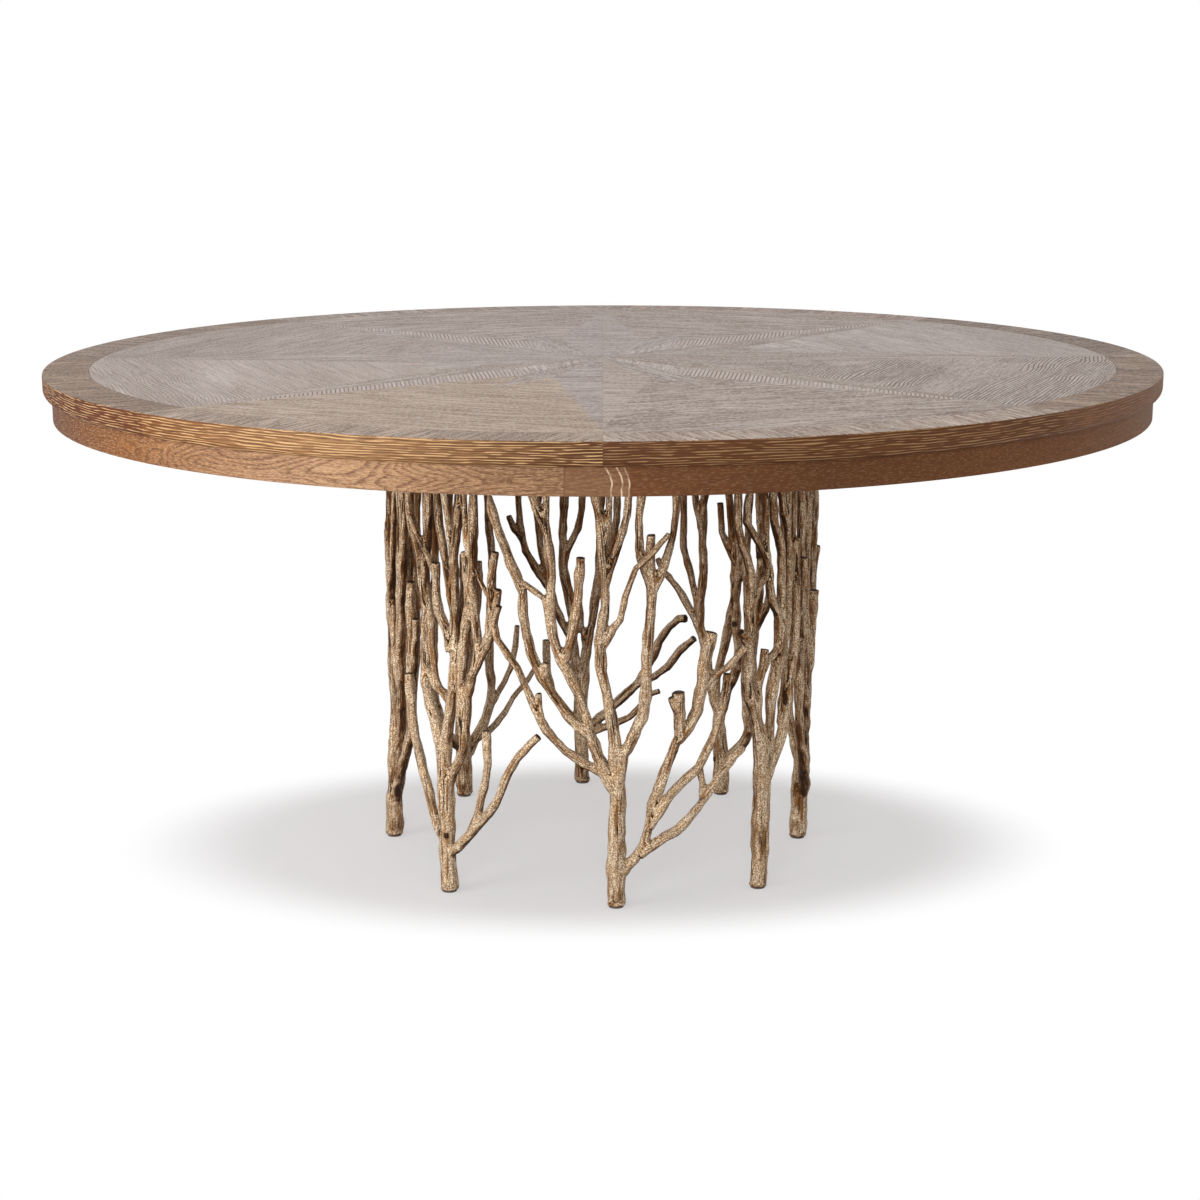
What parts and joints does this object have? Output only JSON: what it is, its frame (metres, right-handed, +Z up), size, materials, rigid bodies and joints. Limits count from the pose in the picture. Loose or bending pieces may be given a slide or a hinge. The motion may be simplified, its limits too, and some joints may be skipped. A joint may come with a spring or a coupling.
{
  "type": "round dining table",
  "caption": "Round dining table with a compass-star lamella top, solid oak border and apron, on a ring of cast metal twig saplings.",
  "frame": {"origin": "on the floor under the middle of the round top", "axes": "+Z up, -Y towards the front sapling (the pictured side), +X to the right seen from the front"},
  "size_m": [1.676, 1.676, 0.776],
  "materials": {
    "core_board": "matt engineered board",
    "field_oak": "matt limed grey oak",
    "star_light": "matt limed pale oak",
    "star_dark": "matt limed brown oak",
    "border_oak": "matt limed oak",
    "apron_oak": "satin reddish brown oak",
    "hardwood": "raw beech",
    "cleat_wood": "raw oak",
    "cast_twig": "antique champagne patina on cast bark",
    "plate_steel": "matt dark brown",
    "zinc_steel": "zinc plated",
    "insert_brass": "machined",
    "glide_nylon": "matt dark brown nylon"
  },
  "bodies": {
    "root": {"top_core": "core_board", "star_long_light": "star_light", "star_long_dark": "star_dark", "star_short_light": "star_light", "star_short_dark": "star_dark", "field_lamella_1": "field_oak", "border_piece_1": "border_oak", "cleat_1": "cleat_wood", "field_lamella_2": "field_oak", "border_piece_2": "border_oak", "cleat_2": "cleat_wood", "field_lamella_3": "field_oak", "border_piece_3": "border_oak", "cleat_3": "cleat_wood", "field_lamella_4": "field_oak", "border_piece_4": "border_oak", "cleat_4": "cleat_wood", "field_lamella_5": "field_oak", "border_piece_5": "border_oak", "cleat_5": "cleat_wood", "field_lamella_6": "field_oak", "border_piece_6": "border_oak", "cleat_6": "cleat_wood", "field_lamella_7": "field_oak", "border_piece_7": "border_oak", "cleat_7": "cleat_wood", "field_lamella_8": "field_oak", "border_piece_8": "border_oak", "cleat_8": "cleat_wood", "border_keys": "hardwood", "border_tongues": "hardwood", "apron_piece_1": "apron_oak", "apron_piece_2": "apron_oak", "apron_piece_3": "apron_oak", "apron_piece_4": "apron_oak", "apron_blocks": "cleat_wood", "block_screws": "zinc_steel", "cleat_screws": "zinc_steel", "plate_bolts": "zinc_steel", "plate_washers": "zinc_steel", "thread_inserts": "insert_brass", "head_plate_front": "plate_steel", "sapling_front": "cast_twig", "head_plate_front_right": "plate_steel", "sapling_front_right": "cast_twig", "head_plate_right": "plate_steel", "sapling_right": "cast_twig", "head_plate_back_right": "plate_steel", "sapling_back_right": "cast_twig", "head_plate_back": "plate_steel", "sapling_back": "cast_twig", "head_plate_back_left": "plate_steel", "sapling_back_left": "cast_twig", "head_plate_left": "plate_steel", "sapling_left": "cast_twig", "head_plate_front_left": "plate_steel", "sapling_front_left": "cast_twig", "foot_glides": "glide_nylon", "glide_pins": "zinc_steel"}
  },
  "joints": []
}
